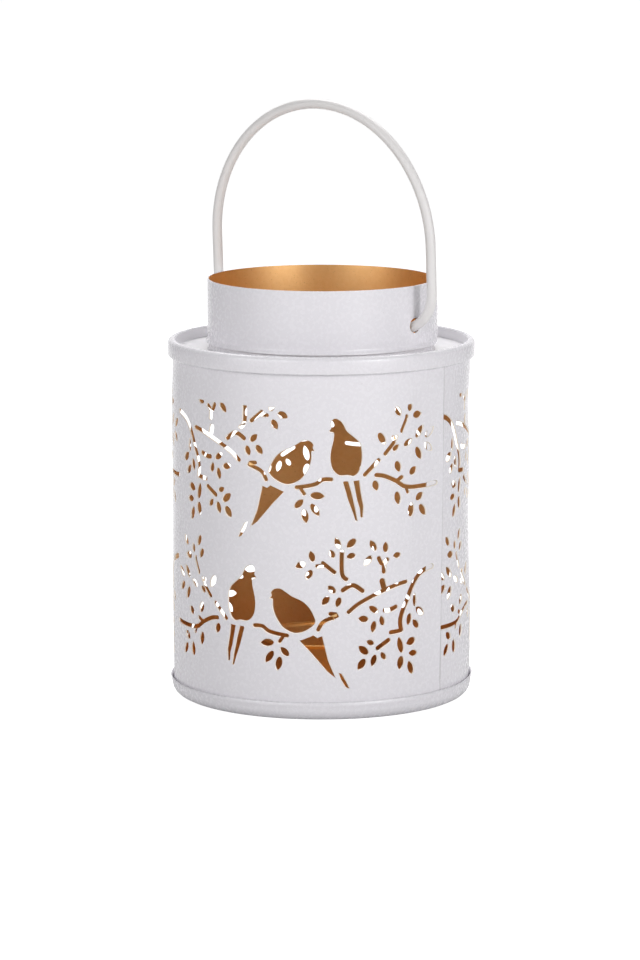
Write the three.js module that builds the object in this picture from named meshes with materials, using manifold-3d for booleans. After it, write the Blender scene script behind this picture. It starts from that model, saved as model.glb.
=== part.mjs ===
// White sheet-metal lantern with a pierced sleeve, an open neck and a wire bail.
// Millimetres, +Z up, origin on the table under the middle of the base.
// X runs along the bail's pivots, and the sleeve's lap seam faces +X.
import * as THREE from 'three';
import { mergeVertices } from 'three/addons/utils/BufferGeometryUtils.js';
import Module from 'manifold-3d';

const wasm = await Module();
wasm.setup();

// Driving dimensions
const SIDES = 48;
const GAP = 0.3;
const SHEET = 0.5;

const SLEEVE_RADIUS = 59.7;
const SLEEVE_SHEET = 0.4;
const LAP_WIDTH = 10;
const JOGGLE_WIDTH = 8;

const BODY_HEIGHT = 143.4;
const RIM_HEIGHT = 6.8;
const RIM_DEPTH = 4.4;
const RIM_HEM = 1.1;
const RIM_CORNER = 1.6;

const PAN_HEIGHT = 7.8;
const PAN_CORNER = 3;
const PAN_LIP = 0.4;
const FOOT_WIDTH = 8;
const FOOT_HEIGHT = 1;

const NECK_RADIUS = 45.6;
const NECK_RISE = 24.8;
const NECK_LIP = 0.8;
const NECK_LIP_HEIGHT = 2;
const UPSTAND_HEIGHT = 5.2;

const CUP_RADIUS = 24.6;
const CUP_HEIGHT = 21.5;
const CUP_CORNER = 2.5;
const CUP_LIP = 0.7;
const CUP_SIDES = 40;

const WIRE = 4;
const HOLE = 5.6;
const HOLE_SIDES = 16;
const PIVOT_DROP = 16.2;
const BAIL_HALF_SPAN = 53;
const BAIL_SHIFT = 2.2;
const BAIL_ARCH = 54.9;
const BAIL_LEG = 31.3;
const BAIL_LEAN = 2.75;
const BEND_RADIUS = 8;
const END_SLOPE = 28;
const END_LENGTH = 6;
const WIRE_SIDES = 8;
const WIRE_STEPS = 60;
const BEND_STEPS = 4;
const ARCH_STEPS = 20;

const PANELS = 3;
const PANEL_MIDDLE = -67.1;
const ROW_PITCH = 59;
const UPPER_ROW_TOP = 124.2;
const LEAST_CUT = 1;
const CUTTER_DEPTH = 8;
const CUTTER_OUTSIDE = 1;

// Heights and radii that follow
const lapRadius = SLEEVE_RADIUS + SLEEVE_SHEET;
const sleeveInner = SLEEVE_RADIUS - SLEEVE_SHEET;
const skirtInner = lapRadius + GAP;
const panRadius = skirtInner + SHEET;
const rimRadius = skirtInner + RIM_HEM;
const plateTop = BODY_HEIGHT - RIM_DEPTH;
const neckTop = BODY_HEIGHT + NECK_RISE;
const pivotHeight = neckTop - PIVOT_DROP;
const cupFloor = FOOT_HEIGHT + SHEET + GAP;

// Materials
const whitePaint = new THREE.MeshStandardMaterial({ color: 0xdddbe0, roughness: 0.35, metalness: 0 });
const handlePaint = new THREE.MeshStandardMaterial({ color: 0xe2dfde, roughness: 0.4, metalness: 0 });
const goldPaint = new THREE.MeshStandardMaterial({ color: 0xb5803f, roughness: 0.45, metalness: 0.6 });

// A ring or dish turned about +Z from its outline of [radius, height], listed anticlockwise
function turned(outline, sides) {
  const points = outline.map(([radius, height]) => new THREE.Vector2(radius, height));
  const geometry = new THREE.LatheGeometry(points, sides);
  return geometry.rotateX(Math.PI / 2);
}

// A quarter round in an outline, from one angle to another in degrees
function arc(radius, height, size, from, to, steps = 2) {
  const points = [];
  for (let i = 0; i <= steps; i++) {
    const angle = THREE.MathUtils.degToRad(from + ((to - from) * i) / steps);
    points.push([radius + size * Math.cos(angle), height + size * Math.sin(angle)]);
  }
  return points;
}

function toSolid(geometry) {
  const bare = geometry.clone();
  bare.deleteAttribute('normal');
  bare.deleteAttribute('uv');
  const merged = mergeVertices(bare, 1e-4);
  return new wasm.Manifold(new wasm.Mesh({
    numProp: 3,
    vertProperties: Float32Array.from(merged.attributes.position.array),
    triVerts: Uint32Array.from(merged.index.array),
  }));
}

function toGeometry(solid) {
  const mesh = solid.getMesh();
  const geometry = new THREE.BufferGeometry();
  geometry.setAttribute('position', new THREE.BufferAttribute(mesh.vertProperties, 3));
  geometry.setIndex(new THREE.BufferAttribute(mesh.triVerts, 1));
  geometry.computeVertexNormals();
  return geometry;
}

// The pierced ornament: birds on a leafy branch, one panel long. Points are [along, height] on
// the unrolled sheet, along the sheet from the lap edge and at the height of the upper row.
const SHAPES = [
  // left bird, its tail and tail tip
  [[-60.1, 111.5], [-58.2, 107.4], [-59.5, 107], [-60.5, 100.8], [-63.5, 96.5], [-69.3, 94.2],
    [-73.4, 95.7], [-76.2, 98.3], [-74.4, 103.5], [-71, 107.1], [-64.7, 110.8]],
  [[-79, 93], [-77.2, 92.2], [-75.7, 93.3], [-70.3, 91.1], [-84.2, 76.1]],
  [[-85.6, 78.4], [-89.8, 71.9], [-86.4, 75.2]],
  // right bird and its two tail feathers
  [[-50.1, 119.8], [-52.2, 115.2], [-50.5, 114.3], [-51.8, 104], [-50.7, 99.9], [-48.2, 97.7],
    [-42.6, 97.5], [-40.6, 99.4], [-39.5, 105.5], [-40.7, 110.6], [-45.6, 115.2]],
  [[-46.9, 95], [-45.4, 94.8], [-41.5, 79.7]],
  [[-42.8, 95.4], [-40.6, 95.6], [-38.7, 85.4], [-39.6, 84]],
];

// Main branches and twigs: width, then the points along the middle
const STROKES = [
  [1.9, [[-128.5, 117.6], [-121.3, 115.4], [-116.2, 109.3], [-112.4, 101.2], [-112, 92.9]]],
  [1.7, [[-114.7, 113], [-103.8, 110.3], [-94, 105.8], [-88.9, 102]]],
  [2, [[-104.2, 109.6], [-103.4, 115]]],
  [1.7, [[-95.5, 110.3], [-91.6, 113], [-87, 110.7]]],
  [1.6, [[-89.4, 115.2], [-86.9, 117.8], [-86.8, 127.3]]],
  [1.6, [[-84, 118.3], [-78.8, 122.6]]],
  [1.6, [[-105.3, 122.4], [-103.6, 120.8], [-101.5, 123.6]]],
  [1.5, [[-84.6, 101.6], [-79.6, 98.8], [-77.2, 95]]],
  [1.6, [[-65.9, 92.9], [-58.5, 94.4], [-54.9, 96.2], [-50.9, 96.2]]],
  [1.6, [[-38.6, 97.5], [-32.4, 103.2]]],
  [1.6, [[-30.2, 105], [-25.3, 110.3]]],
  [1.6, [[-34.3, 97.4], [-29, 96], [-20.2, 91.1], [-3.8, 91.1]]],
  [1.7, [[-106.3, 90.4], [-100.8, 87.2]]],
];

// Larger leaves: [along, height, tilt in degrees, length, width]
const LEAVES = [
  [-31.3, 111.3, -60, 4.6, 2.4], [-14.7, 119.6, 0, 4.4, 2.6], [-13.5, 112.8, 48, 5.2, 2.4],
  [-13.8, 104.2, -60, 5, 2.6], [-24, 87.5, -80, 4.6, 2.5], [-17.8, 82.5, 85, 5, 2.8],
  [-11.8, 81.7, -55, 5, 2.6], [-57.2, 89.8, -5, 5, 2.8], [-61.8, 81.7, -80, 5, 2.6],
  [-58, 84.2, -55, 5.2, 2.4], [-97.2, 122.5, -45, 4.6, 2.2], [-121.3, 100.2, 35, 4.6, 2.8],
  [-115.5, 97.7, -80, 4.4, 2], [-99.7, 96.3, -75, 4.4, 2.2], [-116.3, 88.3, -15, 4.2, 3],
  [-111.3, 87.5, 75, 6.4, 2.4], [-111.3, 80.4, -80, 5, 2.8], [-116.1, 77.9, 70, 5.2, 2.6],
  [-95.5, 87.1, 40, 4.8, 2.8], [-94.7, 81.7, -50, 4.8, 2.8], [-99.4, 128.3, 61, 4.6, 2.4],
  [-90.5, 129.7, -42, 4.6, 2.6],
];

// The outline of a stroke: its two sides, offset from the middle line
function strokeOutline([width, middle]) {
  const left = [];
  const right = [];
  middle.forEach(([x, z], i) => {
    const [x0, z0] = middle[Math.max(i - 1, 0)];
    const [x1, z1] = middle[Math.min(i + 1, middle.length - 1)];
    const length = Math.hypot(x1 - x0, z1 - z0);
    const sideX = (-(z1 - z0) / length) * (width / 2);
    const sideZ = ((x1 - x0) / length) * (width / 2);
    left.push([x + sideX, z + sideZ]);
    right.push([x - sideX, z - sideZ]);
  });
  return left.concat(right.reverse());
}

// The outline of a leaf: a kite, widest nearer its stalk
function leafOutline([x, z, tilt, length, width]) {
  const angle = THREE.MathUtils.degToRad(tilt);
  const kite = [[length / 2, 0], [-length / 10, width / 2], [-length / 2, 0], [-length / 10, -width / 2]];
  return kite.map(([a, b]) => [
    x + a * Math.cos(angle) - b * Math.sin(angle),
    z + a * Math.sin(angle) + b * Math.cos(angle),
  ]);
}

// A straight-sided solid that cuts one outline out of the wall, square to its middle
function wallCutter(outline) {
  const along = outline.map(([x]) => x);
  const middle = (Math.min(...along) + Math.max(...along)) / 2 / SLEEVE_RADIUS;
  const flat = outline.map(([x, z]) => {
    return new THREE.Vector2(lapRadius * Math.sin(x / SLEEVE_RADIUS - middle), z);
  });
  const prism = new THREE.ExtrudeGeometry(new THREE.Shape(flat), { depth: CUTTER_DEPTH, bevelEnabled: false });
  prism.translate(0, 0, lapRadius + CUTTER_OUTSIDE - CUTTER_DEPTH);
  const tangent = new THREE.Vector3(-Math.sin(middle), Math.cos(middle), 0);
  const outward = new THREE.Vector3(Math.cos(middle), Math.sin(middle), 0);
  const up = new THREE.Vector3(0, 0, 1);
  return toSolid(prism.applyMatrix4(new THREE.Matrix4().makeBasis(tangent, up, outward)));
}

// All outlines on the sheet: three panels in the upper row, and their mirror images below
function ornamentOutlines() {
  const motif = [...SHAPES, ...STROKES.map(strokeOutline), ...LEAVES.map(leafOutline)];
  const panelPitch = (2 * Math.PI * SLEEVE_RADIUS) / PANELS;
  const outlines = [];
  for (let panel = 0; panel < PANELS; panel++) {
    const middle = PANEL_MIDDLE - panel * panelPitch;
    for (const outline of motif) {
      const lowest = Math.min(...outline.map(([, z]) => z));
      if (lowest < UPPER_ROW_TOP - LEAST_CUT) {
        outlines.push(outline.map(([x, z]) => [middle + (x - PANEL_MIDDLE), Math.min(z, UPPER_ROW_TOP)]));
      }
      outlines.push(outline.map(([x, z]) => [middle - (x - PANEL_MIDDLE), z - ROW_PITCH]));
    }
  }
  return outlines;
}

// The sleeve's section: one sheet rolled round, its end lapped over its start at +X
function sleeveSection() {
  const lap = LAP_WIDTH / SLEEVE_RADIUS;
  const joggle = lap + JOGGLE_WIDTH / SLEEVE_RADIUS;
  const step = (2 * Math.PI) / SIDES;
  const wholeSteps = Math.floor((2 * Math.PI - joggle) / step);
  const around = Array.from({ length: wholeSteps + 1 }, (_, i) => i * step);
  around.push(-joggle);
  const at = (radius, angle) => new THREE.Vector2(radius * Math.cos(angle), radius * Math.sin(angle));
  const outer = around.map((angle) => at(SLEEVE_RADIUS, angle));
  outer.push(at(lapRadius, -lap), at(lapRadius, -lap / 2), at(lapRadius, 0));
  const inner = around.map((angle) => at(sleeveInner, angle));
  inner.push(at(SLEEVE_RADIUS, -lap), at(sleeveInner, -lap), at(sleeveInner, -lap / 2));
  const section = new THREE.Shape(outer);
  section.holes.push(new THREE.Path(inner));
  return section;
}

// body_sleeve: the rolled sheet, pierced everywhere but in the double thickness of the lap
function bodySleeve() {
  const bottom = PAN_CORNER;
  const top = BODY_HEIGHT - SHEET - GAP;
  const tube = new THREE.ExtrudeGeometry(sleeveSection(), { depth: top - bottom, bevelEnabled: false });
  const wall = toSolid(tube.translate(0, 0, bottom));
  const lapBlock = wallCutter([[-LAP_WIDTH, 0], [0, 0], [0, BODY_HEIGHT], [-LAP_WIDTH, BODY_HEIGHT]]);
  const cutters = wasm.Manifold.union(ornamentOutlines().map(wallCutter));
  return toGeometry(wall.subtract(cutters.subtract(lapBlock)));
}

// shoulder_cap: pressed plate with an upstand inside and a hemmed rim folded over the sleeve
function shoulderCap() {
  const channelInner = sleeveInner - GAP;
  const rimInner = channelInner - SHEET;
  const upstandOuter = NECK_RADIUS - GAP;
  const outline = [
    [upstandOuter - SHEET, plateTop - SHEET],
    [channelInner, plateTop - SHEET],
    [channelInner, BODY_HEIGHT - SHEET],
    [skirtInner, BODY_HEIGHT - SHEET],
    [skirtInner, BODY_HEIGHT - RIM_HEIGHT],
    [rimRadius, BODY_HEIGHT - RIM_HEIGHT],
    ...arc(rimRadius - RIM_CORNER, BODY_HEIGHT - RIM_CORNER, RIM_CORNER, 0, 90),
    [rimInner + SHEET, BODY_HEIGHT],
    [rimInner, BODY_HEIGHT - SHEET],
    [rimInner, plateTop],
    [upstandOuter + SHEET, plateTop],
    [upstandOuter, plateTop + SHEET],
    [upstandOuter, plateTop + UPSTAND_HEIGHT],
    [upstandOuter - SHEET, plateTop + UPSTAND_HEIGHT],
    [upstandOuter - SHEET, plateTop - SHEET],
  ];
  return turned(outline, SIDES);
}

// neck_collar: rolled tube that sits on the upstand, flared at its foot, with the bail's two holes
function neckCollar() {
  const foot = plateTop + UPSTAND_HEIGHT - NECK_LIP_HEIGHT / 2 - GAP / 2;
  const inner = NECK_RADIUS - SHEET;
  const outline = [
    [inner + NECK_LIP, foot],
    [NECK_RADIUS + NECK_LIP, foot],
    [NECK_RADIUS + NECK_LIP, foot + SHEET],
    [NECK_RADIUS, foot + NECK_LIP_HEIGHT],
    [NECK_RADIUS, neckTop - SHEET / 2],
    [NECK_RADIUS - SHEET / 4, neckTop],
    [inner + SHEET / 4, neckTop],
    [inner, neckTop - SHEET / 2],
    [inner, foot + NECK_LIP_HEIGHT + GAP],
    [inner + NECK_LIP, foot + SHEET],
    [inner + NECK_LIP, foot],
  ];
  const drillLength = 2 * (NECK_RADIUS + HOLE);
  const drill = new THREE.CylinderGeometry(HOLE / 2, HOLE / 2, drillLength, HOLE_SIDES);
  drill.rotateZ(Math.PI / 2);
  drill.translate(0, 0, pivotHeight);
  return toGeometry(toSolid(turned(outline, SIDES)).subtract(toSolid(drill)));
}

// base_pan: shallow pressed pan round the sleeve's foot, standing on a ring
function basePan() {
  const wall = panRadius;
  const outline = [
    [0, FOOT_HEIGHT],
    [wall - PAN_CORNER - FOOT_WIDTH - 2 * FOOT_HEIGHT, FOOT_HEIGHT],
    [wall - PAN_CORNER - FOOT_WIDTH, 0],
    ...arc(wall - PAN_CORNER, PAN_CORNER, PAN_CORNER, -90, 0),
    [wall, PAN_HEIGHT - 3 * PAN_LIP],
    [wall + PAN_LIP, PAN_HEIGHT - PAN_LIP],
    [wall + PAN_LIP / 2, PAN_HEIGHT],
    [wall, PAN_HEIGHT],
    [skirtInner, PAN_HEIGHT - 2 * PAN_LIP],
    ...arc(wall - PAN_CORNER, PAN_CORNER, PAN_CORNER - SHEET, 0, -90),
    [wall - PAN_CORNER - FOOT_WIDTH, SHEET],
    [wall - PAN_CORNER - FOOT_WIDTH - 2 * FOOT_HEIGHT, FOOT_HEIGHT + SHEET],
    [0, FOOT_HEIGHT + SHEET],
  ];
  return turned(outline, SIDES);
}

// candle_cup: drawn cup on the pan's floor, for a tealight or a small candle
function candleCup() {
  const floor = cupFloor;
  const rim = floor + CUP_HEIGHT;
  const outline = [
    [0, floor],
    ...arc(CUP_RADIUS - CUP_CORNER, floor + CUP_CORNER, CUP_CORNER, -90, 0),
    [CUP_RADIUS, rim - 2 * CUP_LIP],
    [CUP_RADIUS + CUP_LIP, rim - CUP_LIP],
    [CUP_RADIUS + CUP_LIP / 2, rim],
    [CUP_RADIUS - SHEET / 2, rim],
    [CUP_RADIUS - SHEET, rim - CUP_LIP],
    ...arc(CUP_RADIUS - CUP_CORNER, floor + CUP_CORNER, CUP_CORNER - SHEET, 0, -90),
    [0, floor + SHEET],
  ];
  return turned(outline, CUP_SIDES);
}

// Half of the bail's middle line, from its end inside the neck up to the arch, in the bail's
// own plane with the pivot at the origin
function bailLeg(side) {
  const slope = THREE.MathUtils.degToRad(END_SLOPE);
  const wall = NECK_RADIUS - SHEET / 2;
  const legX = BAIL_HALF_SPAN + side * BAIL_SHIFT;
  const straight = (legX - wall - BEND_RADIUS * (1 - Math.sin(slope))) / Math.cos(slope);
  const startX = wall + straight * Math.cos(slope);
  const startZ = straight * Math.sin(slope);
  const points = [
    [wall - END_LENGTH * Math.cos(slope), -END_LENGTH * Math.sin(slope)],
    [wall - (END_LENGTH / 2) * Math.cos(slope), (-END_LENGTH / 2) * Math.sin(slope)],
    [wall, 0],
  ];
  for (let i = 0; i <= BEND_STEPS; i++) {
    const turn = slope + ((Math.PI / 2 - slope) * i) / BEND_STEPS;
    points.push([
      startX + BEND_RADIUS * (Math.sin(turn) - Math.sin(slope)),
      startZ + BEND_RADIUS * (Math.cos(slope) - Math.cos(turn)),
    ]);
  }
  const bendTop = points[points.length - 1][1];
  points.push([legX, (bendTop + BAIL_LEG) / 2]);
  return points.map(([x, z]) => new THREE.Vector3(side * x, 0, z));
}

// bail_handle: one painted wire, its ends sprung into the neck's holes
function bailHandle() {
  const middle = bailLeg(1);
  for (let i = 0; i <= ARCH_STEPS; i++) {
    const angle = (Math.PI * i) / ARCH_STEPS;
    middle.push(new THREE.Vector3(
      BAIL_SHIFT + BAIL_HALF_SPAN * Math.cos(angle),
      0,
      BAIL_LEG + BAIL_ARCH * Math.sin(angle),
    ));
  }
  middle.push(...bailLeg(-1).reverse());
  const path = new THREE.CatmullRomCurve3(middle, false, 'centripetal');
  const section = new THREE.Shape();
  for (let i = 0; i < WIRE_SIDES; i++) {
    const angle = (2 * Math.PI * (i + 0.5)) / WIRE_SIDES;
    const point = [(WIRE / 2) * Math.cos(angle), (WIRE / 2) * Math.sin(angle)];
    if (i === 0) section.moveTo(...point);
    else section.lineTo(...point);
  }
  return new THREE.ExtrudeGeometry(section, { steps: WIRE_STEPS, extrudePath: path, bevelEnabled: false });
}

function piece(name, geometry, material) {
  const mesh = new THREE.Mesh(geometry, material);
  mesh.name = name;
  return mesh;
}

const lantern = new THREE.Group();
lantern.add(piece('body_sleeve', bodySleeve(), whitePaint));
lantern.add(piece('shoulder_cap', shoulderCap(), whitePaint));
lantern.add(piece('neck_collar', neckCollar(), whitePaint));
lantern.add(piece('base_pan', basePan(), whitePaint));
lantern.add(piece('candle_cup', candleCup(), goldPaint));

const bail = piece('bail_handle', bailHandle(), handlePaint);
bail.position.z = pivotHeight;
bail.rotation.x = THREE.MathUtils.degToRad(BAIL_LEAN);
lantern.add(bail);

export default lantern;
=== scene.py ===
"""Looks of the white metal lantern: a pierced sheet sleeve, an open neck and a wire bail.

Metres, +Z up, origin on the table under the middle of the base. X runs along the bail's pivots,
and the sleeve's lap seam faces +X.
"""

import math

import bmesh
import bpy
from mathutils import Matrix, Vector
from mathutils.geometry import interpolate_bezier


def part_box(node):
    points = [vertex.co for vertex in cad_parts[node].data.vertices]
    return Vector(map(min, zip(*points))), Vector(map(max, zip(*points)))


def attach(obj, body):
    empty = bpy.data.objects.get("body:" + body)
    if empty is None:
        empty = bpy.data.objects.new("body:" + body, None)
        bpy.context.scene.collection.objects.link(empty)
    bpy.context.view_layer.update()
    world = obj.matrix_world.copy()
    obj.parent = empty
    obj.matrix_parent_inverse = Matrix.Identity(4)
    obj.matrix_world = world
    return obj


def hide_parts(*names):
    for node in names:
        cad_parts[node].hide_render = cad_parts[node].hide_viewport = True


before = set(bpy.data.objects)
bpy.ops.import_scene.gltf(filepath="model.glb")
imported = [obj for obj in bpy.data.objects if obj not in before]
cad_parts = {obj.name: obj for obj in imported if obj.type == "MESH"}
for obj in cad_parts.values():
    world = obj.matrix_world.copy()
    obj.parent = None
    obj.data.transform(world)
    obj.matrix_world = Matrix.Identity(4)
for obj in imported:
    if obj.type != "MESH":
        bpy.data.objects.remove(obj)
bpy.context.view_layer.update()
scene = bpy.context.scene
scene.view_settings.view_transform = "Standard"


# Camera
# A long lens 1.7 m away and a little above the lantern, turned 36.6 degrees round from its front,
# so that the lap seam and one pivot of the bail show at the right.
CAMERA_TURN = math.radians(36.6)
CAMERA_AIM = math.radians(0.018)
CAMERA_DISTANCE = 1.734
CAMERA_HEIGHT = 0.3743
CAMERA_TILT = math.radians(80.566)
CAMERA_LENS = 163.6

camera_data = bpy.data.cameras.new("camera")
camera_data.lens = CAMERA_LENS
camera = bpy.data.objects.new("camera", camera_data)
camera.location = (
    CAMERA_DISTANCE * math.sin(CAMERA_TURN),
    -CAMERA_DISTANCE * math.cos(CAMERA_TURN),
    CAMERA_HEIGHT,
)
camera.rotation_euler = (CAMERA_TILT, 0, CAMERA_TURN + CAMERA_AIM)
scene.collection.objects.link(camera)
scene.camera = camera


# Sleeve
# The body is one thin steel sheet, pierced with birds on leafy branches and rolled into a tube. Its
# end is left flat, laps over its start at +X and is spot welded there. White outside, gold inside.
MM = 0.001
SLEEVE_SHEET = 0.4 * MM
LAP_WIDTH = 8.7 * MM
FLAT_WIDTH = 17.4 * MM
LAP_STEP = 0.43 * MM
LAP_GAP = 0.25 * MM
LAP_SLANT = 2 * MM
SLANT_REACH = 15 * MM
SEAM_LINE = 0.9 * MM
SLEEVE_STRIPS = 240
SLEEVE_ROWS = [8, 12, 17, 25, 33, 42, 51, 60, 70, 80, 89, 98, 108, 118, 124, 129, 134]
EDGE_ROUNDING = 0.25 * MM
PANELS = 3
PANEL_SHIFTS = [(0, 0), (0, 0), (0.8, 0.4)]
PANEL_MIDDLE = -67.1
ROW_PITCH = 59
UPPER_ROW_TOP = 124.2
LEAST_CUT = 1

sleeve_low, sleeve_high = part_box("body_sleeve")
sleeve_radius = sleeve_high.y - SLEEVE_SHEET / 2
sleeve_round = 2 * math.pi * sleeve_radius

# Birds, drawn round: [along the sheet from its outer edge, height], in mm, for the upper row
BIRDS = [
    # the left bird
    [(-60.1, 111.3), (-58.7, 110.0), (-58.9, 108.6), (-58.3, 107.6), (-59.4, 107.2), (-59.5, 104.2),
     (-60.5, 100.8), (-63, 96.9), (-66, 94.9), (-69.3, 94.2), (-73.2, 95.6), (-76.2, 98.3),
     (-75.7, 101), (-73.8, 104.4), (-71, 106.9), (-67.2, 108.6), (-64.4, 110.4), (-62.4, 111.5)],
    # the right bird
    [(-50.1, 120.1), (-51.6, 118.8), (-51.5, 116.6), (-52.2, 115.2), (-50.6, 114.6), (-50.6, 112),
     (-51.6, 107.5), (-51.8, 104), (-50.9, 100.2), (-48.4, 97.9), (-45.1, 97.9), (-42.6, 97.5),
     (-40.7, 99.3), (-39.6, 103.3), (-39.6, 107.5), (-40.6, 110.6), (-43, 112.9), (-45.6, 115.2),
     (-46.8, 117.5), (-48, 119.1)],
]

# Tails, with straight sides
TAILS = [
    [(-79, 93), (-77.2, 92.2), (-75.7, 93.3), (-70.3, 91.1), (-74.7, 86.5), (-81.3, 78.8),
     (-84.3, 76.1), (-81.3, 83.3)],
    [(-85.6, 78.4), (-86.8, 77.6), (-88.6, 74.4), (-89.8, 71.9), (-88.4, 72.6), (-86.6, 75.6)],
    [(-46.9, 95), (-46.6, 95.3), (-45.2, 95.3), (-44.9, 95), (-43.7, 90.9), (-42.2, 84.5), (-41.3, 79.6),
     (-41.9, 79.5), (-42.8, 82.4), (-44.9, 88)],
    [(-42.8, 95.4), (-40.6, 95.6), (-40, 91), (-38.9, 85.4), (-39.2, 80.9), (-39.9, 80.9), (-40.2, 84.4),
     (-41.2, 87.5)],
]

# Branches: width, then points along the middle
BRANCHES = [
    (1.9, [(-128.5, 117.6), (-125.3, 117), (-121.3, 115.4), (-118.3, 112.6), (-116.2, 109.3),
           (-114.6, 105.6), (-112.6, 101.7), (-111.4, 97.5), (-112, 92.9)]),
    (1.5, [(-114.7, 113), (-109.7, 112.1), (-103.8, 110.3), (-98, 107.9), (-93, 105.3), (-88.9, 102)]),
    (1.7, [(-95.7, 110.2), (-91.1, 113.1), (-86.5, 110.8)]),
    (1.6, [(-89.2, 115.2), (-86.9, 117.8), (-86.8, 127.3)]),
    (1.5, [(-84.4, 118), (-78.8, 122.6)]),
    (1.6, [(-106, 123.1), (-103.4, 120.9), (-101.5, 124)]),
    (1.5, [(-81.5, 102), (-85.2, 101.3), (-79.6, 98.8), (-77.2, 95)]),
    (1.5, [(-65.9, 92.9), (-61, 93.6), (-57.5, 94.5), (-54.9, 96.2), (-50.9, 96.2)]),
    (1.5, [(-38.8, 97.2), (-32.1, 103.7)]),
    (1.5, [(-30.2, 105), (-25.4, 110.2)]),
    (1.2, [(-22.6, 113.8), (-19.9, 119.4)]),
    (1.6, [(-34.3, 97.4), (-30.2, 96.8), (-24.8, 94.4), (-20.1, 91.7), (-10, 91.3), (-3.8, 91.8)]),
    (1.7, [(-110, 103.6), (-106.4, 102.3), (-103.6, 102.4)]),
    (1.7, [(-106.7, 90.7), (-100.7, 87)]),
]

# Twigs that spring from the branches
TWIGS = [
    (1.6, [(-111.8, 93.6), (-106.3, 93.2)]),
    (2.2, [(-104.2, 110.7), (-103, 115.2)]),
    (1.4, [(-80.6, 121.2), (-76.4, 120.9)]),
    (1.6, [(-103.9, 120.6), (-104, 117)]),
    (1.3, [(-64, 93.2), (-61.8, 90)]),
    (1.6, [(-24.7, 94.3), (-21.7, 96.1)]),
    (1.2, [(-20.4, 91.6), (-19.2, 89)]),
    (1.2, [(-26.7, 112.4), (-25.6, 110.6), (-24.7, 112.5)]),
    (1.5, [(-20.7, 119.6), (-19.4, 119.6)]),
    (1.5, [(-22.9, 113.8), (-21.9, 114)]),
]

# Leaves: along, height, tilt of the leaf from its stalk to its tip in degrees, length, width
LEAVES = [
    (-31.2, 111.6, -60, 5.2, 2.6), (-24.1, 121.9, -60, 4.1, 2.3), (-18.5, 123.3, 85, 3.4, 2),
    (-14.7, 119.9, 5, 4.3, 2.8), (-13.5, 113.1, 50, 5.8, 2.5), (-8, 112.3, 38, 5.6, 2.5),
    (-19.4, 109.3, 33, 4.3, 2.1), (-25.1, 107.6, 40, 3.3, 1.8), (-13.9, 104.5, -62, 5.5, 2.7),
    (-8.7, 106.5, -38, 5, 2.6), (-24.1, 100.1, -72, 4.4, 2.6), (-16.9, 97.9, 42, 3.9, 2.7),
    (-33.8, 93.2, -75, 4, 2.5), (-24.2, 87.6, -80, 5.1, 2.6), (-13.4, 87.3, 35, 4.2, 2.7),
    (-17.9, 82.5, 85, 5.5, 2.8), (-11.7, 81.7, -55, 5.3, 2.7), (-57, 89.8, -5, 5.4, 2.8),
    (-64.2, 86.6, 45, 4.5, 2.4), (-61.8, 81.7, -80, 5.4, 2.6), (-57.9, 84.2, -55, 5.5, 2.5),
    (-85.4, 106.5, -72, 3.9, 2.2), (-80.4, 107.2, -52, 4.1, 2.4), (-82.8, 111.7, 45, 3.9, 2.3),
    (-73.9, 117.5, -60, 4.1, 2.4), (-70.6, 121.3, -25, 4.1, 2.6), (-75, 124.8, 75, 4.2, 2.3),
    (-109.7, 123.9, -12, 3.2, 2.2), (-97.2, 122.6, -50, 4.6, 2.3), (-121.1, 100.4, 38, 4.9, 2.8),
    (-119, 95.5, 50, 4.4, 2.4), (-115.5, 97.7, -80, 4.6, 2.2), (-118.3, 105.2, 88, 5.2, 1.6),
    (-95.4, 99.5, 10, 3.9, 2.5), (-103.2, 98.3, 78, 3.8, 2), (-99.6, 96.1, -78, 4.5, 2.2),
    (-116.5, 88.7, -20, 4.4, 3), (-111.4, 87.8, 77, 6.4, 2.5), (-117.6, 83.9, 5, 4.1, 2.4),
    (-111.5, 80.7, -80, 5.2, 2.8), (-116.3, 78.3, 70, 5.5, 2.6), (-98.3, 89.9, 25, 3.1, 2),
    (-95.5, 87, 42, 4.9, 2.7), (-103.8, 84.2, 58, 3.3, 1.9), (-99.7, 82.6, -72, 4.6, 2.3),
    (-94.7, 81.4, -55, 4.8, 2.7), (-99.6, 103.1, 35, 4.3, 2.3), (-99.4, 128.5, 61, 4.6, 2.4),
    (-104.7, 127.5, 90, 4, 2.2), (-85.1, 130.1, 70, 4.4, 2.2), (-90.5, 129.8, -42, 4.6, 2.6),
    (-82.9, 125.8, 65, 3.2, 2.1), (-90.4, 124.8, -15, 3.4, 2.2), (-12.5, 125.6, 55, 4.4, 2.4),
    (-22.6, 126.8, -66, 4.6, 2.2),
]


def round_through(points, closed, steps=5):
    """Points of a smooth line that passes through the given ones."""
    count = len(points)
    ends = count if closed else count - 1
    line = []
    for i in range(ends):
        before = Vector(points[(i - 1) % count] if closed else points[max(i - 1, 0)])
        here = Vector(points[i])
        there = Vector(points[(i + 1) % count])
        after = Vector(points[(i + 2) % count] if closed else points[min(i + 2, count - 1)])
        leave = here + (there - before) / 6
        arrive = there - (after - here) / 6
        line += interpolate_bezier(here, leave, arrive, there, steps + 1)[:-1]
    return line if closed else line + [Vector(points[-1])]


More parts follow.
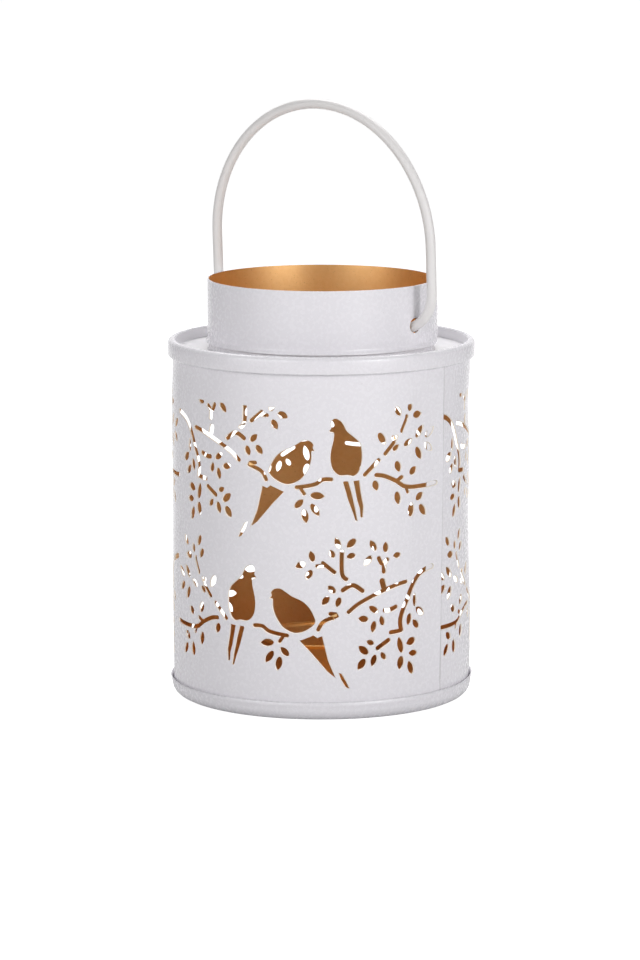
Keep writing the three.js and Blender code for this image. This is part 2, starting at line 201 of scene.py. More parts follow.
def branch_outline(width, points, samples=26):
    """The outline of a branch: an even width with round ends."""
    line = round_through(points, closed=False, steps=8)
    lengths = [0]
    for a, b in zip(line, line[1:]):
        lengths.append(lengths[-1] + (b - a).length)
    total, half = lengths[-1], width / 2
    left, right = [], []
    for i in range(samples + 1):
        along = total * (1 - math.cos(math.pi * i / samples)) / 2
        k = max(j for j in range(len(line) - 1) if lengths[j] <= along + 1e-9)
        a, b = line[k], line[k + 1]
        middle = a.lerp(b, (along - lengths[k]) / (b - a).length)
        side = Vector((a.y - b.y, b.x - a.x)).normalized()
        end = min(along, total - along, half)
        reach = math.sqrt(max(2 * half * end - end * end, 0))
        left.append(middle + side * reach)
        right.append(middle - side * reach)
    return left + right[-2:0:-1]


def leaf_outline(x, z, tilt, length, width, samples=20):
    """The outline of a leaf: round at its stalk, pointed at its tip."""
    outline = []
    turn = math.radians(tilt)
    for i in range(samples):
        angle = 2 * math.pi * i / samples
        along = math.cos(angle)
        across = math.sin(angle) * (1 - 0.5 * max(along, 0) ** 2)
        a, b = length / 2 * along, width / 2 * across
        outline.append(Vector((x + a * math.cos(turn) - b * math.sin(turn),
                               z + a * math.sin(turn) + b * math.cos(turn))))
    return outline


def on_all_panels(motif):
    """Outlines of three panels in the upper row, and their mirror images below, in metres."""
    pitch = sleeve_round / MM / PANELS
    placed = []
    for panel in range(PANELS):
        along, up = PANEL_SHIFTS[panel]
        middle = PANEL_MIDDLE - panel * pitch + along
        for outline in motif:
            if min(z for _, z in outline) < UPPER_ROW_TOP - LEAST_CUT:
                placed.append([(middle + x - PANEL_MIDDLE, min(z, UPPER_ROW_TOP) + up) for x, z in outline])
            placed.append([(middle - x + PANEL_MIDDLE, z - ROW_PITCH + up) for x, z in outline])
    return [[(x * MM, z * MM) for x, z in outline] for outline in placed]


def widened(outline, extra):
    """The outline with each point moved outwards."""
    points = [Vector(point) for point in outline]
    area = sum(a.x * b.y - b.x * a.y for a, b in zip(points, points[1:] + points[:1]))
    side = extra if area > 0 else -extra
    wide = []
    for before, here, after in zip(points[-1:] + points[:-1], points, points[1:] + points[:1]):
        way = after - before
        wide.append(here + Vector((way.y, -way.x)).normalized() * side)
    return wide


def punches(outlines, reach, rounding):
    """Punches through the flat sheet, one for each outline, wider by the rounding at its outer face."""
    tool = bmesh.new()
    for outline in outlines:
        outside = widened(outline, 1.5 * rounding)
        inside = widened(outline, -0.5 * rounding)
        near = [tool.verts.new((x, -reach, z)) for x, z in outside]
        far = [tool.verts.new((x, reach, z)) for x, z in inside]
        tool.faces.new(near)
        tool.faces.new(far[::-1])
        for i, here in enumerate(near):
            tool.faces.new((here, near[i - 1], far[i - 1], far[i]))
    bmesh.ops.recalc_face_normals(tool, faces=tool.faces)
    mesh = bpy.data.meshes.new("punches")
    tool.to_mesh(mesh)
    tool.free()
    return mesh


def flat_sheet(start, end, low, high, sheet, strips, rows, creases=(), slant=0.0):
    """A flat sheet on edge: X runs along it, Y through it and Z up.

    It has a column of edges at each crease, and the slant leans both of its ends towards the foot.
    """
    plate = bmesh.new()
    bmesh.ops.create_grid(plate, x_segments=strips, y_segments=rows, size=0.5)
    bmesh.ops.rotate(plate, matrix=Matrix.Rotation(math.pi / 2, 3, "X"), verts=plate.verts)
    bmesh.ops.scale(plate, vec=(end - start, 1, high - low), verts=plate.verts)
    bmesh.ops.translate(plate, vec=((start + end) / 2, -sheet / 2, (low + high) / 2), verts=plate.verts)
    for crease in creases:
        everything = plate.verts[:] + plate.edges[:] + plate.faces[:]
        bmesh.ops.bisect_plane(plate, geom=everything, dist=0.02 * MM, plane_co=(crease, 0, 0),
                               plane_no=(1, 0, 0))
    for vertex in plate.verts:
        from_seam = min(abs(vertex.co.x), abs(vertex.co.x - end))
        share = max(1 - from_seam / SLANT_REACH, 0)
        vertex.co.x -= slant * share * (high - vertex.co.z) / (high - low)
    raised = bmesh.ops.extrude_face_region(plate, geom=plate.faces[:])["geom"]
    back = [item for item in raised if isinstance(item, bmesh.types.BMVert)]
    bmesh.ops.translate(plate, vec=(0, sheet, 0), verts=back)
    bmesh.ops.recalc_face_normals(plate, faces=plate.faces)
    mesh = bpy.data.meshes.new("flat_sheet")
    plate.to_mesh(mesh)
    plate.free()
    return mesh


def pierced(mesh, tools, heights=()):
    """The sheet with each set of punches driven through it, and rows of edges at the given heights."""
    sheet = bpy.data.objects.new("sheet", mesh)
    scene.collection.objects.link(sheet)
    helpers = [sheet]
    for tool in tools:
        punch = bpy.data.objects.new("punch", tool)
        scene.collection.objects.link(punch)
        helpers.append(punch)
        cut = sheet.modifiers.new("pierce", "BOOLEAN")
        cut.operation = "DIFFERENCE"
        cut.solver = "MANIFOLD"
        cut.object = punch
    graph = bpy.context.evaluated_depsgraph_get()
    result = bpy.data.meshes.new_from_object(sheet.evaluated_get(graph))
    for helper in helpers:
        bpy.data.objects.remove(helper)
    pieces = bmesh.new()
    pieces.from_mesh(result)
    bmesh.ops.triangulate(pieces, faces=[face for face in pieces.faces if len(face.verts) > 4])
    for height in heights:
        everything = pieces.verts[:] + pieces.edges[:] + pieces.faces[:]
        bmesh.ops.bisect_plane(pieces, geom=everything, dist=0.001 * MM, plane_co=(0, 0, height * MM),
                               plane_no=(0, 0, 1))
    pieces.to_mesh(result)
    pieces.free()
    return result


def rolled(name, mesh, radius, radius_at, materials, on_seam=None):
    """A flat sheet rolled into a tube: outside, inside and cut edges take their own materials.

    radius_at(along, height) gives the sheet's middle radius there, and on_seam(along, height) tells
    where the outside takes the fourth material.
    """
    nudge = 1e-5
    mesh.materials.clear()
    for material in materials:
        mesh.materials.append(material)
    flat = [vertex.co.copy() for vertex in mesh.vertices]
    for vertex, point in zip(mesh.vertices, flat):
        angle = point.x / radius
        r = radius_at(point.x, point.z) - point.y
        vertex.co = (r * math.cos(angle), r * math.sin(angle), point.z)
    shading = []
    for face in mesh.polygons:
        side = Vector((0, 0, 0))
        corners = [flat[i] for i in face.vertices]
        for a, b in zip(corners, corners[1:] + corners[:1]):
            side += a.cross(b)
        through = side.normalized().y
        middle = sum(corners, Vector()) / len(corners)
        face.material_index = 2 if abs(through) < 0.95 else (0 if through < 0 else 1)
        if on_seam and through < -0.95 and on_seam(middle.x, middle.z):
            face.material_index = 3
        face.use_smooth = True
        for corner in corners:
            if abs(through) < 0.95:
                shading.append((0, 0, 0))
                continue
            point = corner.lerp(middle, 0.03)
            slope_along = radius_at(point.x + nudge, point.z) - radius_at(point.x - nudge, point.z)
            slope_up = radius_at(point.x, point.z + nudge) - radius_at(point.x, point.z - nudge)
            angle = corner.x / radius
            out = Vector((math.cos(angle), math.sin(angle), 0))
            round_it = Vector((-math.sin(angle), math.cos(angle), 0))
            normal = out - round_it * slope_along / (2 * nudge) - Vector((0, 0, slope_up / (2 * nudge)))
            shading.append(normal.normalized() * (1 if through < 0 else -1))
    mesh.set_sharp_from_angle(angle=math.radians(35))
    mesh.normals_split_custom_set(shading)
    mesh.name = name
    piece = bpy.data.objects.new(name, mesh)
    scene.collection.objects.link(piece)
    return piece


def smooth_step(x):
    x = min(max(x, 0), 1)
    return x * x * (3 - 2 * x)


# Where the thin sheet has sprung out or been pressed in: middle along the sheet, half its width,
# then heights and how far out, in mm
BULGES = [
    (36, 34, [(8, 0), (14, 0.45), (42, 0.6), (60, -0.1), (80, -0.3), (98, 0), (118, -0.7), (134, 0)]),
    (225, 40, [(8, 0), (40, 0.3), (80, 0.2), (118, 0.5), (134, 0)]),
]

# The flat end is pressed round again inside the pan and the rim, and gapes most between the two
GAP_FOOT = 12 * MM
GAP_TOP = 126 * MM
GAP_FADE = 30 * MM
ROUND_FOOT = 5 * MM
ROUND_FOOT_FADE = 12 * MM
ROUND_TOP = 138 * MM
ROUND_TOP_FADE = 14 * MM


def sleeve_radius_at(along, height):
    """Round, but for the flat end that laps over the start, and a few bulges."""
    off_round = 0
    for middle, half_width, steps in BULGES:
        near = max(1 - abs(along / MM - middle) / half_width, 0)
        up = min(max(height / MM, steps[0][0]), steps[-1][0])
        for (low, a), (high, b) in zip(steps, steps[1:]):
            if near and low <= up <= high:
                off_round += smooth_step(near) * (a + (b - a) * smooth_step((up - low) / (high - low)))
                break
    flat_angle = FLAT_WIDTH / sleeve_radius
    over_start = along > sleeve_round / 2
    angle = (along - sleeve_round if over_start else along) / sleeve_radius
    free = smooth_step((height - GAP_FOOT) / GAP_FADE) * smooth_step((GAP_TOP - height) / GAP_FADE)
    end_radius = sleeve_radius + LAP_STEP + (LAP_GAP * free if over_start else 0)
    chord = 1 / sleeve_radius
    if -flat_angle < angle <= 0:
        chord = math.sin(-angle) / sleeve_radius + math.sin(angle + flat_angle) / end_radius
        chord /= math.sin(flat_angle)
    flatness = smooth_step((height - ROUND_FOOT) / ROUND_FOOT_FADE)
    flatness *= smooth_step((ROUND_TOP - height) / ROUND_TOP_FADE)
    pressed_round = sleeve_radius + max(LAP_STEP * (1 + angle / flat_angle), 0) * (angle <= 0)
    radius = pressed_round + (1 / chord - pressed_round) * flatness
    if angle <= 0 and not over_start:
        radius -= LAP_STEP
    return radius + off_round * MM


def on_seam(along, height):
    """Where the outside along the lapped edge is painted dark grey: bare, soiled sheet and painted shade of
    the crack under the edge.
    """
    edge = -LAP_SLANT * (sleeve_high.z - height) / (sleeve_high.z - sleeve_low.z)
    return edge < along < edge + SEAM_LINE


# Sprayed finish: a skin effect shared by every painted surface
def sprayed_skin():
    """Orange peel, a fine mottle, and dust specks under the paint."""
    group = bpy.data.node_groups.new("sprayed_skin", "ShaderNodeTree")
    face = group.interface
    for label, value in (("Peel size", 900), ("Peel height", 0.1), ("Mottle size", 300),
                         ("Speck size", 500), ("Speck share", 0.1)):
        socket = face.new_socket(name=label, in_out="INPUT", socket_type="NodeSocketFloat")
        socket.default_value = value
    face.new_socket(name="Normal", in_out="OUTPUT", socket_type="NodeSocketVector")
    face.new_socket(name="Speck", in_out="OUTPUT", socket_type="NodeSocketFloat")
    face.new_socket(name="Mottle", in_out="OUTPUT", socket_type="NodeSocketFloat")
    nodes, links = group.nodes, group.links
    given = nodes.new("NodeGroupInput")
    made = nodes.new("NodeGroupOutput")
    place = nodes.new("ShaderNodeTexCoord")

    def noise(scale, detail):
        node = nodes.new("ShaderNodeTexNoise")
        node.inputs["Detail"].default_value = detail
        links.new(place.outputs["Object"], node.inputs["Vector"])
        links.new(given.outputs[scale], node.inputs["Scale"])
        return node

    peel = noise("Peel size", 2)
    dust = noise("Speck size", 1)
    mottle = noise("Mottle size", 2)
    fine = nodes.new("ShaderNodeBump")
    fine.inputs["Distance"].default_value = 0.1 * MM
    links.new(given.outputs["Peel height"], fine.inputs["Strength"])
    links.new(peel.outputs["Fac"], fine.inputs["Height"])
    links.new(fine.outputs["Normal"], made.inputs["Normal"])
    edge = nodes.new("ShaderNodeMath")
    edge.operation = "SUBTRACT"
    edge.inputs[0].default_value = 0.8
    links.new(given.outputs["Speck share"], edge.inputs[1])
    mask = nodes.new("ShaderNodeMapRange")
    links.new(dust.outputs["Fac"], mask.inputs["Value"])
    links.new(edge.outputs["Value"], mask.inputs["From Min"])
    mask.inputs["From Max"].default_value = 0.85
    links.new(mask.outputs["Result"], made.inputs["Speck"])
    links.new(mottle.outputs["Fac"], made.inputs["Mottle"])
    return group


skin = sprayed_skin()


def painted(name, colour, shade, roughness, coat, skin_values, metallic=0.0):
    """A sprayed paint: its colour drifts a little towards a shade, and specks darken it."""
    material = bpy.data.materials.new(name)
    material.use_nodes = True
    nodes, links = material.node_tree.nodes, material.node_tree.links
    surface = nodes["Principled BSDF"]
    surface.inputs["Metallic"].default_value = metallic
    surface.inputs["Coat Weight"].default_value = coat
    surface.inputs["Coat Roughness"].default_value = 0.12
    effect = nodes.new("ShaderNodeGroup")
    effect.node_tree = skin
    for label, value in skin_values.items():
        effect.inputs[label].default_value = value
    drift = nodes.new("ShaderNodeMix")
    drift.data_type = "RGBA"
    drift.inputs["A"].default_value = (*colour, 1)
    drift.inputs["B"].default_value = (*shade, 1)
    links.new(effect.outputs["Mottle"], drift.inputs["Factor"])
    speck = nodes.new("ShaderNodeMix")
    speck.data_type = "RGBA"
    speck.inputs["B"].default_value = (*[0.72 * c for c in shade], 1)
    links.new(effect.outputs["Speck"], speck.inputs["Factor"])
    links.new(drift.outputs["Result"], speck.inputs["A"])
    links.new(speck.outputs["Result"], surface.inputs["Base Color"])
    rough = nodes.new("ShaderNodeMapRange")
    rough.inputs["To Min"].default_value = roughness - 0.05
    rough.inputs["To Max"].default_value = roughness + 0.05
    links.new(effect.outputs["Mottle"], rough.inputs["Value"])
    links.new(rough.outputs["Result"], surface.inputs["Roughness"])
    links.new(effect.outputs["Normal"], surface.inputs["Normal"])
    return material


WHITE_SKIN = {"Peel size": 1500, "Peel height": 0.05, "Mottle size": 700, "Speck size": 1500,
              "Speck share": 0.06}
GOLD_SKIN = {"Peel size": 1200, "Peel height": 0.4, "Mottle size": 600, "Speck size": 1500,
             "Speck share": 0.14}
white_paint = painted("white_paint", (0.8, 0.782, 0.82), (0.785, 0.767, 0.805), 0.27, 0.0, WHITE_SKIN)
gold_paint = painted("gold_paint", (0.88, 0.575, 0.275), (0.81, 0.5, 0.215), 0.42, 0.0, GOLD_SKIN, 1.0)
# The sheets' cut edges and rims are cream and brighter than the white paint: a painted highlight along every
# cut edge.
cut_edge_highlight = painted("cut_edge_highlight", (0.95, 0.89, 0.8), (0.9, 0.82, 0.72), 0.5, 0.0, WHITE_SKIN)
# A dark grey line along the lapped edge: painted shade of the crack there, with some dirt and bare sheet.
seam_shade_and_dirt = painted("seam_shade_and_dirt", (0.5, 0.49, 0.5), (0.42, 0.41, 0.41), 0.5, 0.0, WHITE_SKIN)

birds_and_leaves = [round_through(bird, closed=True) for bird in BIRDS]
birds_and_leaves += [[Vector(point) for point in tail] for tail in TAILS]
birds_and_leaves += [leaf_outline(*leaf) for leaf in LEAVES]
branches = [branch_outline(*branch) for branch in BRANCHES]
twigs = [branch_outline(*twig) for twig in TWIGS]


def in_sheet(outlines):
    """Shift the panels on to the sheet, which starts at its hidden edge."""
    return [[(x + sleeve_round, z) for x, z in outline] for outline in on_all_panels(outlines)]


plain = flat_sheet(-LAP_WIDTH, sleeve_round, sleeve_low.z, sleeve_high.z, SLEEVE_SHEET, SLEEVE_STRIPS,
                   1, creases=(0, SEAM_LINE, sleeve_round - FLAT_WIDTH), slant=LAP_SLANT)
tools = [punches(in_sheet(outlines), SLEEVE_SHEET, EDGE_ROUNDING)
         for outlines in (birds_and_leaves, branches, twigs)]
sleeve = rolled("sleeve", pierced(plain, tools, SLEEVE_ROWS), sleeve_radius, sleeve_radius_at,
                [white_paint, gold_paint, cut_edge_highlight, seam_shade_and_dirt], on_seam)
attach(sleeve, "lantern_body")
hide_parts("body_sleeve")


# Shoulder
# A pressed ring that closes the sleeve: an upstand for the neck, a recessed plate, and a rim that
# is folded over the sleeve's top edge and hemmed inside.
SHEET = 0.5 * MM
SPIN_STEPS = 240
RIM_HEIGHT = 6.8 * MM
RIM_DEPTH = 4.4 * MM
CHANNEL_WIDTH = 2.5 * MM
HEM_GAP = 0.1 * MM
HEM_RISE = 4.6 * MM
UPSTAND_HEIGHT = 5.2 * MM
NECK_LIP = 0.8 * MM
SEAT_GAP = 0.3 * MM

cap_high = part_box("shoulder_cap")[1]


def pressed(name, line, corners, materials, own_at=None):
    """A dish or ring of sheet turned about the lantern's axis.

    line holds [radius, height] of the sheet's middle, and corners the bend radius of each corner.
    Where own_at(radius, height) holds, the sheet takes the fourth material, and the fifth inside.
    """
    shell = bmesh.new()
    points = [shell.verts.new((radius, 0, height)) for radius, height in line]
    edges = [shell.edges.new(pair) for pair in zip(points, points[1:])]
    bmesh.ops.spin(shell, geom=points + edges, axis=(0, 0, 1), angle=2 * math.pi, steps=SPIN_STEPS,
                   use_merge=True)
    bmesh.ops.remove_doubles(shell, verts=shell.verts, dist=0.001 * MM)
    for index, bend in corners.items():
        radius, height = line[index]
        ring = [edge for edge in shell.edges
                if all(abs(v.co.z - height) < 0.01 * MM and abs(v.co.xy.length - radius) < 0.01 * MM
                       for v in edge.verts)]
        bmesh.ops.bevel(shell, geom=ring, offset=bend, offset_type="OFFSET", segments=5, profile=0.5,
                        affect="EDGES", material=-1, clamp_overlap=True)
    bmesh.ops.recalc_face_normals(shell, faces=shell.faces)
    for face in shell.faces:
        middle = face.calc_center_median()
        if own_at and own_at(middle.xy.length, middle.z):
            face.material_index = 3
    mesh = bpy.data.meshes.new(name)
    shell.to_mesh(mesh)
    shell.free()
    mesh.shade_smooth()
    for material in materials:
        mesh.materials.append(material)
    piece = bpy.data.objects.new(name, mesh)
    scene.collection.objects.link(piece)
    wall = piece.modifiers.new("wall", "SOLIDIFY")
    wall.thickness = SHEET
    wall.offset = 0
    wall.use_even_offset = True
    wall.material_offset = 1
    wall.material_offset_rim = 2
    return piece


plate_height = cap_high.z - RIM_DEPTH - SHEET / 2
rim_radius = cap_high.x - SHEET / 2
hem_radius = rim_radius - SHEET - HEM_GAP
channel_radius = rim_radius - CHANNEL_WIDTH
upstand_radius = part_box("neck_collar")[1].x - NECK_LIP - SEAT_GAP - SHEET / 2
shoulder_line = [
    (upstand_radius, plate_height + UPSTAND_HEIGHT + SHEET / 2),
    (upstand_radius, plate_height),
    (channel_radius, plate_height),
    (channel_radius, cap_high.z - SHEET / 2),
    (rim_radius, cap_high.z - SHEET / 2),
    (rim_radius, cap_high.z - RIM_HEIGHT + SHEET / 2),
    (hem_radius, cap_high.z - RIM_HEIGHT + SHEET / 2),
    (hem_radius, cap_high.z - RIM_HEIGHT + HEM_RISE),
]
# The recessed plate between the upstand and the rim is painted a brighter white: painted light, for the
# strong light that falls on it from behind.
plate_light_paint = painted("plate_light_paint", (0.92, 0.91, 0.93), (0.9, 0.89, 0.91), 0.3, 0.0, WHITE_SKIN)
shoulder = pressed("shoulder", shoulder_line,
                   {1: 0.6 * MM, 2: 0.5 * MM, 3: 0.6 * MM, 4: 1.6 * MM, 5: 0.25 * MM, 6: 0.25 * MM},
                   [white_paint, gold_paint, cut_edge_highlight, plate_light_paint, gold_paint],
                   own_at=lambda radius, height: upstand_radius + 1 * MM < radius < channel_radius + 0.1 * MM)
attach(shoulder, "lantern_body")
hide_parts("shoulder_cap")


# Neck
# A second rolled tube, welded where it laps near +X, with its foot flared over the upstand. The
# bail's two holes are drilled through it along X. Only the lap's outer layer is pierced at +X.
NECK_LIP_HEIGHT = 2 * MM
NECK_JOGGLE = 6 * MM
NECK_BULGE = 1 * MM
NECK_BULGE_MIDDLE = 38
NECK_BULGE_HALF_ANGLE = 16
NECK_BULGE_TOP = 164 * MM
NECK_BULGE_FADE = 8 * MM
HOLE = 6 * MM
HOLE_RISE = 0.5 * MM
HOLE_POINTS = 40
PIVOT_HEIGHT = 152 * MM
NECK_LAP_START = math.radians(1.5)
NECK_LAP_END = math.radians(24)
NECK_STRIPS = 240
NECK_ROWS = 48

neck_low, neck_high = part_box("neck_collar")
neck_radius = neck_high.x - NECK_LIP - SHEET / 2
neck_round = 2 * math.pi * neck_radius


def neck_radius_at(along, height):
    """Flared at its foot, stepped out where its end laps over its start, and bulged beyond the lap."""
    up = (height - neck_low.z) / NECK_LIP_HEIGHT
    flare = NECK_LIP * (1 - smooth_step(up))
    joggle = (along - (neck_round + neck_radius * NECK_LAP_START) + NECK_JOGGLE) / NECK_JOGGLE
    near = 1 - abs(math.degrees(along / neck_radius) - NECK_BULGE_MIDDLE) / NECK_BULGE_HALF_ANGLE
    bulge = NECK_BULGE * smooth_step(near) * smooth_step(up)
    bulge *= smooth_step((NECK_BULGE_TOP - height) / NECK_BULGE_FADE)
    return neck_radius + flare + bulge + (SHEET + 0.02 * MM) * smooth_step(joggle)


neck_sheet = flat_sheet(neck_radius * NECK_LAP_START, neck_round + neck_radius * NECK_LAP_END,
                        neck_low.z, neck_high.z, SHEET, NECK_STRIPS, NECK_ROWS)
hole_places = [neck_round / 2, neck_round]
hole_turns = [2 * math.pi * i / HOLE_POINTS for i in range(HOLE_POINTS)]
hole_outlines = [
    [(place + HOLE / 2 * math.cos(turn), PIVOT_HEIGHT + HOLE_RISE + HOLE / 2 * math.sin(turn))
     for turn in hole_turns]
    for place in hole_places
]
# The drilled holes' edges are painted dark brown: bare, worn steel, and painted shade inside the holes round
# the wire.
worn_and_shaded_edge = painted("worn_and_shaded_edge", (0.36, 0.27, 0.2), (0.2, 0.13, 0.08), 0.5, 0.0, WHITE_SKIN)
neck = rolled("neck", pierced(neck_sheet, [punches(hole_outlines, SHEET, 0)]), neck_radius, neck_radius_at,
              [white_paint, gold_paint, worn_and_shaded_edge])
# Only the edges at the holes keep that dark brown; the mouth's and the foot's cut edges take the white paint.
for face in neck.data.polygons:
    if face.material_index == 2 and abs(face.center.z - PIVOT_HEIGHT) > HOLE:
        face.material_index = 0
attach(neck, "lantern_body")
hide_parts("neck_collar")


# Base
# A shallow pressed pan, pushed up over the sleeve's foot. It stands on a flat ring, and its lip
# flares a little away from the sleeve.
FOOT_RADIUS = 50 * MM
FOOT_HEIGHT = 1 * MM
PAN_CORNER = 4 * MM
PAN_BEND = 0.8 * MM
PAN_LEAN = 0.2 * MM
PAN_WALL_INSET = 1.3 * MM
PAN_LIP_INSET = 0.5 * MM
PAN_LIP_DROP = 0.2 * MM
PAN_LIP_FOOT = 5.2 * MM
WHITE_FROM = 3 * MM
PAN_SKEW = 0.5 * MM
PAN_SKEW_TURN = math.radians(36.6)
PAN_SKEW_FROM = 3.5 * MM
PAN_SKEW_FADE = 4 * MM

pan_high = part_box("base_pan")[1]
wall_radius = pan_high.x - PAN_WALL_INSET
pan_line = [
    (0, FOOT_HEIGHT + SHEET / 2),
    (FOOT_RADIUS - 2 * FOOT_HEIGHT, FOOT_HEIGHT + SHEET / 2),
    (FOOT_RADIUS, SHEET / 2),
    (wall_radius - PAN_LEAN, SHEET / 2),
    (wall_radius + PAN_LEAN, PAN_LIP_FOOT),
    (pan_high.x - PAN_LIP_INSET, pan_high.z - PAN_LIP_DROP),
]
base = pressed("base", pan_line, {1: PAN_BEND, 2: PAN_BEND, 3: PAN_CORNER, 4: PAN_BEND},
               [white_paint, gold_paint, cut_edge_highlight, white_paint, white_paint],
               own_at=lambda radius, height: height > WHITE_FROM)
for vertex in base.data.vertices:
    across = vertex.co.x * math.cos(PAN_SKEW_TURN) + vertex.co.y * math.sin(PAN_SKEW_TURN)
    up = smooth_step((vertex.co.z - PAN_SKEW_FROM) / PAN_SKEW_FADE)
    vertex.co.z += PAN_SKEW * up * across / wall_radius
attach(base, "lantern_body")
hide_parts("base_pan")


# Candle cup
# A drawn cup with a small turned-out lip, welded to the middle of the pan. It is gold all over.
CUP_CORNER = 2.5 * MM
CUP_LIP = 0.7 * MM

cup_low, cup_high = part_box("candle_cup")
cup_radius = cup_high.x - CUP_LIP - SHEET / 2
cup_line = [
    (0, cup_low.z + SHEET / 2),
    (cup_radius, cup_low.z + SHEET / 2),
    (cup_radius, cup_high.z - 2 * CUP_LIP),
    (cup_radius + CUP_LIP, cup_high.z - CUP_LIP / 2),
    (cup_radius + CUP_LIP / 2, cup_high.z - SHEET / 2),
]
cup = pressed("cup", cup_line, {1: CUP_CORNER, 2: 0.5 * MM, 3: 0.3 * MM},
              [gold_paint, gold_paint, gold_paint])
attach(cup, "lantern_body")
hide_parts("candle_cup")


# Bail
# One steel wire, bent to an arch and painted. Its ends turn in through the neck's holes, where
# they pivot. It leans a little to the front.
WIRE = 4 * MM
BAIL_HALF_SPAN = 53 * MM
BAIL_SHIFT = 1.5 * MM
BAIL_ARCH = 54.8 * MM
BAIL_LEG = 31.3 * MM
BAIL_LEAN = math.radians(2.75)
END_SLOPE = math.radians(28)
END_LENGTH = 6 * MM
BEND_SHARE = 0.85
STRAIGHT_SHARE = 0.15

handle_paint = painted("handle_paint", (0.79, 0.77, 0.765), (0.77, 0.75, 0.745), 0.4, 0.0, WHITE_SKIN)


def bail_leg(side):
    """From the wire's end inside the neck up to the arch, in the bail's own plane."""
    leg = BAIL_HALF_SPAN + side * BAIL_SHIFT
    wall = neck_radius
    bend = BEND_SHARE * (leg - wall) / (1 - math.sin(END_SLOPE))
    straight = STRAIGHT_SHARE * (leg - wall) / math.cos(END_SLOPE)
    start_x = wall + straight * math.cos(END_SLOPE)
    start_z = straight * math.sin(END_SLOPE)
    points = [(wall - END_LENGTH * math.cos(END_SLOPE), -END_LENGTH * math.sin(END_SLOPE)), (wall, 0)]
    for i in range(9):
        turn = END_SLOPE + (math.pi / 2 - END_SLOPE) * i / 8
        points.append((start_x + bend * (math.sin(turn) - math.sin(END_SLOPE)),
                       start_z + bend * (math.cos(END_SLOPE) - math.cos(turn))))
    points.append((leg, (points[-1][1] + BAIL_LEG) / 2))
    return [(side * x, z) for x, z in points]


arch = []
for i in range(41):
    angle = math.pi * i / 40
    arch.append((BAIL_SHIFT + BAIL_HALF_SPAN * math.cos(angle), BAIL_LEG + BAIL_ARCH * math.sin(angle)))
wire_line = round_through(bail_leg(1) + arch + bail_leg(-1)[::-1], closed=False, steps=3)
wire_curve = bpy.data.curves.new("bail", "CURVE")
wire_curve.dimensions = "3D"
wire_curve.bevel_depth = WIRE / 2
wire_curve.bevel_resolution = 8
wire_curve.use_fill_caps = True
spline = wire_curve.splines.new("POLY")
spline.points.add(len(wire_line) - 1)
for point, (x, z) in zip(spline.points, wire_line):
    point.co = (x, -z * math.sin(BAIL_LEAN), PIVOT_HEIGHT + z * math.cos(BAIL_LEAN), 1)
wire_curve.materials.append(handle_paint)
bent = bpy.data.objects.new("bent_wire", wire_curve)
scene.collection.objects.link(bent)
wire_mesh = bpy.data.meshes.new_from_object(bent.evaluated_get(bpy.context.evaluated_depsgraph_get()))
bpy.data.objects.remove(bent)
wire_mesh.shade_smooth()
wire_mesh.set_sharp_from_angle(angle=math.radians(50))
bail = bpy.data.objects.new("bail", wire_mesh)
scene.collection.objects.link(bail)
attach(bail, "bail")
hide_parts("bail_handle")


# Studio
# A white sweep under and behind the lantern, a soft box on each side of the camera, and a panel
# behind it that lights the upward faces. The room in front is dimmer than the sweep.
ROOM_LIGHT = 0.13
ROOM_GLOSS = 0.2
FLOOR_GLOW = 0.92
FLOOR_GLOSS = 0.2
SWEEP_HALF_ANGLE = 28


def soft_box(name, turn, rise, distance, width, height, power):
    """A soft box aimed at the lantern, turned round it from the camera's side."""
    data = bpy.data.lights.new(name, "AREA")
    data.shape = "RECTANGLE"
    data.size, data.size_y = width, height
    data.energy = power
    lamp = bpy.data.objects.new(name, data)
    azimuth = CAMERA_TURN + math.radians(turn)
    level = math.radians(rise)
    away = Vector((math.sin(azimuth) * math.cos(level), -math.cos(azimuth) * math.cos(level),
                   math.sin(level)))
    lamp.location = Vector((0, 0, 0.1)) + away * distance
    lamp.rotation_euler = away.to_track_quat("Z", "Y").to_euler()
    scene.collection.objects.link(lamp)


soft_box("right_box", turn=43, rise=18, distance=1.2, width=1.0, height=0.7, power=4.8)
soft_box("right_core", turn=41, rise=18, distance=1.2, width=0.18, height=0.6, power=3.3)
soft_box("left_box", turn=-45, rise=18, distance=1.2, width=1.05, height=0.7, power=6.3)
soft_box("back_panel", turn=180, rise=56, distance=1.2, width=0.9, height=0.6, power=12)

world = bpy.data.worlds.new("room")
world.use_nodes = True
scene.world = world
room_nodes, room_links = world.node_tree.nodes, world.node_tree.links
background = room_nodes["Background"]
background.inputs["Color"].default_value = (1, 1, 1, 1)
rays = room_nodes.new("ShaderNodeLightPath")
way = room_nodes.new("ShaderNodeTexCoord")
towards_sweep = room_nodes.new("ShaderNodeVectorMath")
towards_sweep.operation = "DOT_PRODUCT"
towards_sweep.inputs[1].default_value = (-math.sin(CAMERA_TURN), math.cos(CAMERA_TURN), 0)
room_links.new(way.outputs["Generated"], towards_sweep.inputs[0])
sweep = room_nodes.new("ShaderNodeMapRange")
sweep.interpolation_type = "SMOOTHSTEP"
sweep.inputs["From Min"].default_value = math.cos(math.radians(SWEEP_HALF_ANGLE + 12))
sweep.inputs["From Max"].default_value = math.cos(math.radians(SWEEP_HALF_ANGLE - 12))
sweep.inputs["To Min"].default_value = ROOM_GLOSS
sweep.inputs["To Max"].default_value = 1
room_links.new(towards_sweep.outputs["Value"], sweep.inputs["Value"])


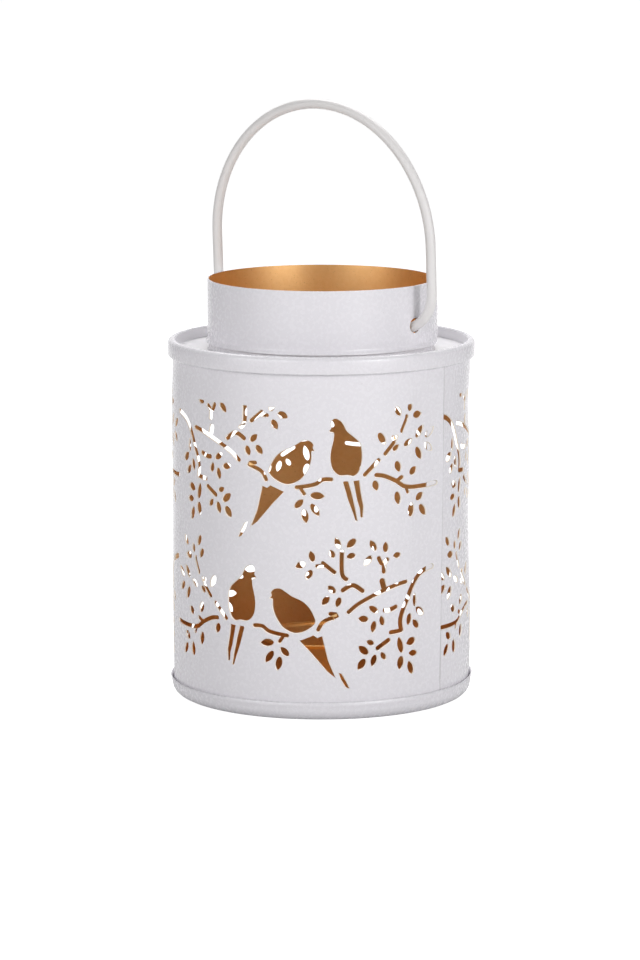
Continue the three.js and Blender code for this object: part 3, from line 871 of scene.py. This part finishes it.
def choose(ray, yes, no):
    """Strength for one kind of ray, or else what the other kinds see."""
    mix = room_nodes.new("ShaderNodeMix")
    room_links.new(rays.outputs[ray], mix.inputs["Factor"])
    for socket, value in (("A", no), ("B", yes)):
        if isinstance(value, bpy.types.NodeSocket):
            room_links.new(value, mix.inputs[socket])
        else:
            mix.inputs[socket].default_value = value
    return mix.outputs["Result"]


for_gloss = choose("Is Glossy Ray", sweep.outputs["Result"], ROOM_LIGHT)
for_glass = choose("Is Transmission Ray", 1, for_gloss)
room_links.new(choose("Is Camera Ray", 1, for_glass), background.inputs["Strength"])

floor_mesh = bpy.data.meshes.new("floor")
sheet = bmesh.new()
bmesh.ops.create_grid(sheet, x_segments=1, y_segments=1, size=6)
sheet.to_mesh(floor_mesh)
sheet.free()
floor = bpy.data.objects.new("floor", floor_mesh)
scene.collection.objects.link(floor)
floor_paper = bpy.data.materials.new("floor_paper")
floor_paper.use_nodes = True
paper_nodes, paper_links = floor_paper.node_tree.nodes, floor_paper.node_tree.links
paper = paper_nodes["Principled BSDF"]
paper.inputs["Base Color"].default_value = (0.6, 0.6, 0.6, 1)
paper.inputs["Roughness"].default_value = 0.9
paper.inputs["Emission Color"].default_value = (1, 1, 1, 1)
paper_rays = paper_nodes.new("ShaderNodeLightPath")
paper_place = paper_nodes.new("ShaderNodeTexCoord")
from_lantern = paper_nodes.new("ShaderNodeVectorMath")
from_lantern.operation = "NORMALIZE"
paper_links.new(paper_place.outputs["Object"], from_lantern.inputs[0])
paper_back = paper_nodes.new("ShaderNodeVectorMath")
paper_back.operation = "DOT_PRODUCT"
paper_back.inputs[1].default_value = (-math.sin(CAMERA_TURN), math.cos(CAMERA_TURN), 0)
paper_links.new(from_lantern.outputs["Vector"], paper_back.inputs[0])
paper_gloss = paper_nodes.new("ShaderNodeMapRange")
paper_gloss.interpolation_type = "SMOOTHSTEP"
paper_gloss.inputs["From Min"].default_value = math.cos(math.radians(SWEEP_HALF_ANGLE + 12))
paper_gloss.inputs["From Max"].default_value = math.cos(math.radians(SWEEP_HALF_ANGLE - 12))
paper_gloss.inputs["To Min"].default_value = FLOOR_GLOSS
paper_gloss.inputs["To Max"].default_value = FLOOR_GLOW
paper_links.new(paper_back.outputs["Value"], paper_gloss.inputs["Value"])
gloss_glow = paper_nodes.new("ShaderNodeMath")
gloss_glow.operation = "MULTIPLY"
paper_links.new(paper_rays.outputs["Is Glossy Ray"], gloss_glow.inputs[0])
paper_links.new(paper_gloss.outputs["Result"], gloss_glow.inputs[1])
glow = paper_nodes.new("ShaderNodeMath")
glow.operation = "MULTIPLY_ADD"
paper_links.new(paper_rays.outputs["Is Camera Ray"], glow.inputs[0])
glow.inputs[1].default_value = FLOOR_GLOW
paper_links.new(gloss_glow.outputs["Value"], glow.inputs[2])
paper_links.new(glow.outputs["Value"], paper.inputs["Emission Strength"])
floor_mesh.materials.append(floor_paper)
